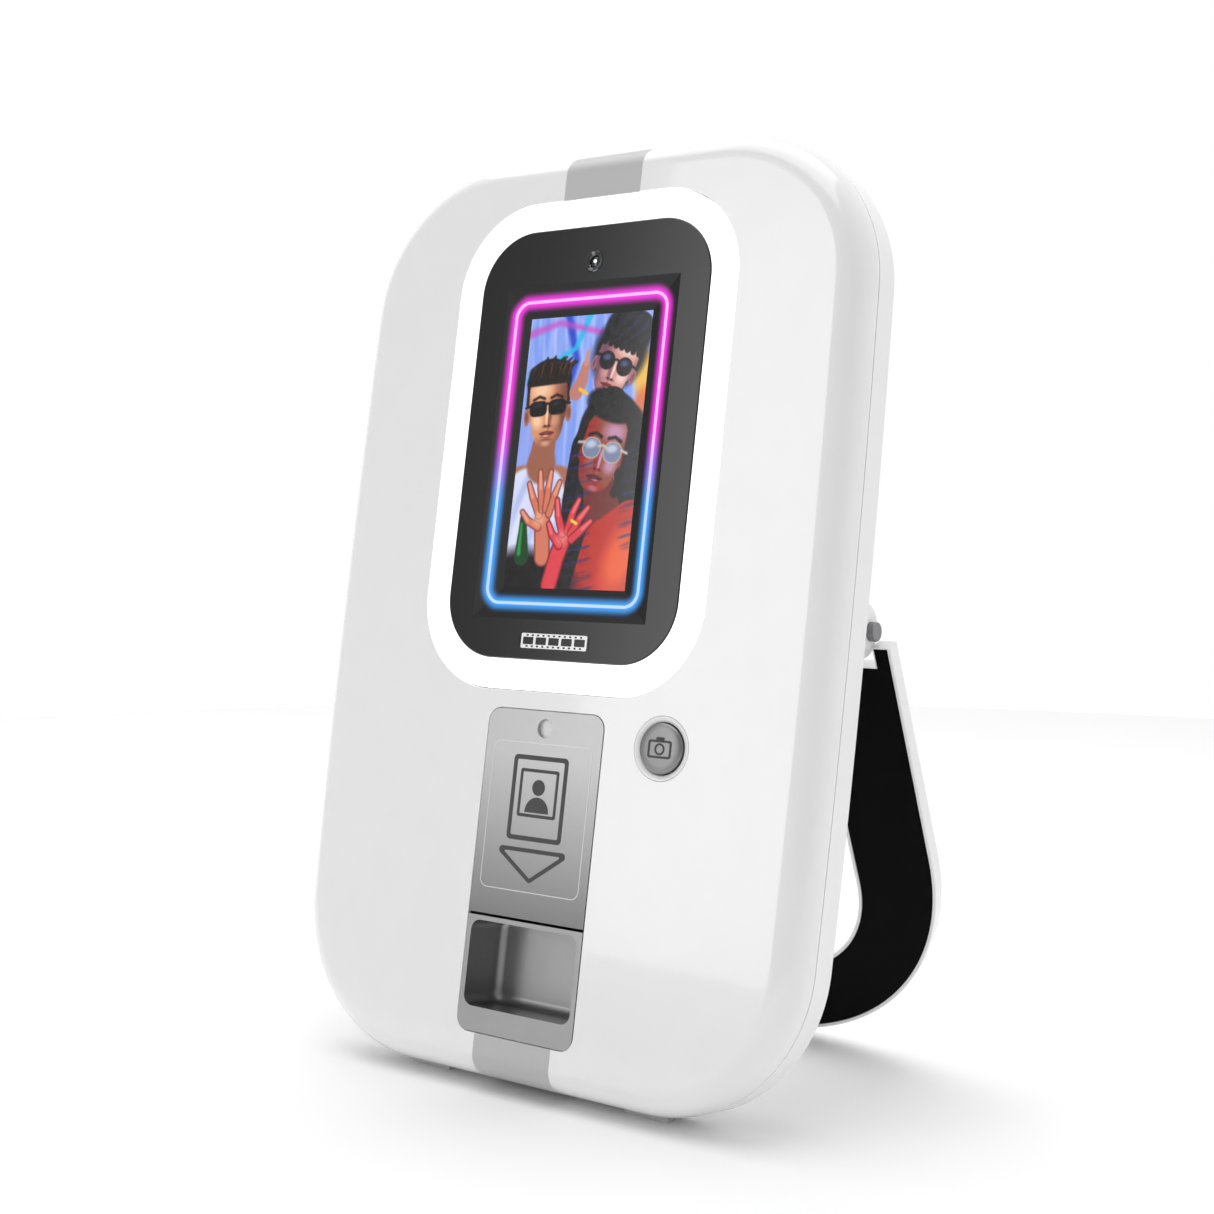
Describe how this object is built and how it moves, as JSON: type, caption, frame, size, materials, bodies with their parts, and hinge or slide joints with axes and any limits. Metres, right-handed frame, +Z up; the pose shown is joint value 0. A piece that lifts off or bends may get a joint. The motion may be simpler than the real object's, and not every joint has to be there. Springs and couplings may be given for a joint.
{
  "type": "countertop photo booth",
  "caption": "Leaning tabletop photo booth with ring light, portrait display, shutter button, print door and tray, and a fold-out rear stand.",
  "frame": {"origin": "centre of the bounding box's footprint, on the ground under the feet", "axes": "+Z up, +X to the right seen from the front, -Y towards the person using it"},
  "size_m": [0.354, 0.213, 0.5235],
  "materials": {
    "shell": "glossy moulded plastic",
    "stand_shell": "glossy moulded plastic",
    "band": "satin inlaid strip",
    "diffuser": "translucent, lit from behind",
    "bezel": "satin black",
    "neon": "lit tube, magenta at the top to blue at the bottom",
    "screen": "lit display behind clear glass",
    "lcd": "black module",
    "lens_trim": "gloss black",
    "lens": "coated lens",
    "badge": "plain inlay",
    "button": "satin chrome",
    "button_mark": "printed pictogram",
    "steel": "brushed silver",
    "door_mark": "printed pictogram",
    "pin": "polished pin",
    "circuit": "circuit board",
    "chip": "chip packages",
    "led": "light emitters",
    "ribbon": "flexible cable",
    "battery": "wrapped cells",
    "black_part": "moulded black",
    "chassis": "bent sheet",
    "rubber": "platen rubber",
    "gear": "acetal gears",
    "brass": "turned brass",
    "paper": "coated paper",
    "card": "card tube",
    "insert": "matt black panel",
    "foot": "soft pads",
    "screw": "cross-head screws",
    "plate": "blank plate"
  },
  "bodies": {
    "cabinet": {"front_shell": "shell", "rear_shell": "shell", "rear_housing": "shell", "top_band": "band", "bottom_band": "band", "ring_diffuser": "diffuser", "ring_board": "circuit", "ring_leds": "led", "bezel": "bezel", "neon_tube": "neon", "screen_glass": "screen", "lcd_panel": "lcd", "camera_ring": "lens_trim", "camera_lens": "lens", "camera_module": "circuit", "badge": "badge", "button_seat": "shell", "button_switch": "chip", "door_pin": "pin", "tray_bin": "steel", "main_board": "circuit", "board_chips": "chip", "display_ribbon": "ribbon", "battery_pack": "battery", "speaker": "black_part", "power_inlet": "black_part", "rocker_frame": "black_part", "printer_chassis": "chassis", "print_head": "black_part", "idler_stud": "pin", "stepper_motor": "chassis", "roll_spindle": "pin", "hinge_ears": "stand_shell", "hinge_pins": "pin", "front_feet": "foot", "rear_screws": "screw", "ear_screws": "screw", "rating_plate": "plate"},
    "stand": {"stand_frame": "stand_shell", "stand_insert": "insert", "stand_foot": "foot"},
    "shutter": {"button_cap": "button", "button_icon": "button_mark"},
    "print_door": {"door_plate": "steel", "door_icon": "door_mark"},
    "rocker": {"rocker_cap": "black_part"},
    "platen": {"platen_roller": "rubber", "platen_gear": "gear"},
    "idler": {"idler_gear": "gear"},
    "pinion": {"motor_pinion": "brass"},
    "roll": {"paper_roll": "paper", "paper_core": "card"}
  },
  "joints": [
    {"name": "stand_hinge", "type": "hinge", "parent": "cabinet", "child": "stand", "pos_m": [0, -0.00995, 0.25657], "axis": [1, 0, 0], "range_deg": [-33.2, 0]},
    {"name": "shutter_push", "type": "slide", "parent": "cabinet", "child": "shutter", "axis": [0, 0.9848, -0.1736], "range_m": [0, 0.0025], "stiffness_N_per_m": 900, "springref_m": -0.0006},
    {"name": "print_door_hinge", "type": "hinge", "parent": "cabinet", "child": "print_door", "pos_m": [0, -0.08817, 0.09977], "axis": [1, 0, 0], "range_deg": [0, 95]},
    {"name": "rocker_pivot", "type": "hinge", "parent": "cabinet", "child": "rocker", "pos_m": [-0.07, -0.02545, 0.09033], "axis": [1, 0, 0], "range_deg": [0, 18]},
    {"name": "platen_spin", "type": "hinge", "parent": "cabinet", "child": "platen", "pos_m": [0, -0.06496, 0.11964], "axis": [1, 0, 0], "continuous": true},
    {"name": "idler_spin", "type": "hinge", "parent": "cabinet", "child": "idler", "pos_m": [0, -0.04528, 0.12882], "axis": [1, 0, 0], "continuous": true},
    {"name": "pinion_spin", "type": "hinge", "parent": "cabinet", "child": "pinion", "pos_m": [0, -0.03949, 0.11292], "axis": [1, 0, 0], "continuous": true},
    {"name": "roll_spin", "type": "hinge", "parent": "cabinet", "child": "roll", "pos_m": [0, -0.04522, 0.15677], "axis": [1, 0, 0], "continuous": true}
  ],
  "couplings": [
    {"joint": "idler_spin", "follows": "platen_spin", "ratio": -0.8},
    {"joint": "pinion_spin", "follows": "platen_spin", "ratio": 2}
  ]
}
